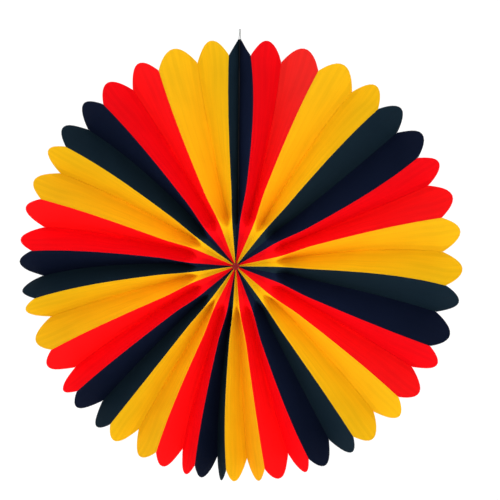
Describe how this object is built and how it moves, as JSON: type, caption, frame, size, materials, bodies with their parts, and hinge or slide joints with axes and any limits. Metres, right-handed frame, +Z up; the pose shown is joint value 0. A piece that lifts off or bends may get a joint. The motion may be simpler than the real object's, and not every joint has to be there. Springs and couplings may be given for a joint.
{
  "type": "paper fan rosette",
  "caption": "Round hanging decoration: a pleated paper fan opened to a full circle of black, red and yellow leaves with rounded tips, on a short thread loop.",
  "frame": {"origin": "top of the hanging thread's loop, in the plane of the two stiff strips", "axes": "+Z up along the hanging line, -Y towards the front that faces the room, +X to the right as seen from the front"},
  "size_m": [0.6, 0.0659, 0.6136],
  "materials": {
    "black_paper": "matt dyed paper, navy-black, fine fibres",
    "red_paper": "matt dyed paper, bright red, fine fibres",
    "yellow_paper": "matt dyed paper, golden yellow, fine fibres",
    "strip_card": "near-black board, cut edges",
    "adhesive": "translucent double-sided tape",
    "tie_thread": "wound cotton thread, deep crimson",
    "loop_thread": "twisted grey thread"
  },
  "bodies": {
    "root": {"adhesive_tape_inner": "adhesive", "adhesive_tape_outer": "adhesive", "hanging_thread": "loop_thread", "hub_tie": "tie_thread", "leaf_01_black_left": "black_paper", "leaf_01_black_right": "black_paper", "leaf_02_red_left": "red_paper", "leaf_02_red_right": "red_paper", "leaf_03_yellow_left": "yellow_paper", "leaf_03_yellow_right": "yellow_paper", "leaf_04_black_left": "black_paper", "leaf_04_black_right": "black_paper", "leaf_05_red_left": "red_paper", "leaf_05_red_right": "red_paper", "leaf_06_yellow_left": "yellow_paper", "leaf_06_yellow_right": "yellow_paper", "leaf_07_black_left": "black_paper", "leaf_07_black_right": "black_paper", "leaf_08_red_left": "red_paper", "leaf_08_red_right": "red_paper", "leaf_09_yellow_left": "yellow_paper", "leaf_09_yellow_right": "yellow_paper", "leaf_10_black_left": "black_paper", "leaf_10_black_right": "black_paper", "leaf_11_red_left": "red_paper", "leaf_11_red_right": "red_paper", "leaf_12_yellow_left": "yellow_paper", "leaf_12_yellow_right": "yellow_paper", "leaf_13_black_left": "black_paper", "leaf_13_black_right": "black_paper", "leaf_14_red_left": "red_paper", "leaf_14_red_right": "red_paper", "leaf_15_yellow_left": "yellow_paper", "leaf_15_yellow_right": "yellow_paper", "leaf_16_black_left": "black_paper", "leaf_16_black_right": "black_paper", "leaf_17_red_left": "red_paper", "leaf_17_red_right": "red_paper", "leaf_18_yellow_left": "yellow_paper", "leaf_18_yellow_right": "yellow_paper", "leaf_19_black_left": "black_paper", "leaf_19_black_right": "black_paper", "leaf_20_red_left": "red_paper", "leaf_20_red_right": "red_paper", "leaf_21_yellow_left": "yellow_paper", "leaf_21_yellow_right": "yellow_paper", "leaf_22_black_left": "black_paper", "leaf_22_black_right": "black_paper", "leaf_23_red_left": "red_paper", "leaf_23_red_right": "red_paper", "leaf_24_yellow_left": "yellow_paper", "leaf_24_yellow_right": "yellow_paper", "stiff_strip_left": "strip_card", "stiff_strip_right": "strip_card"}
  },
  "joints": []
}
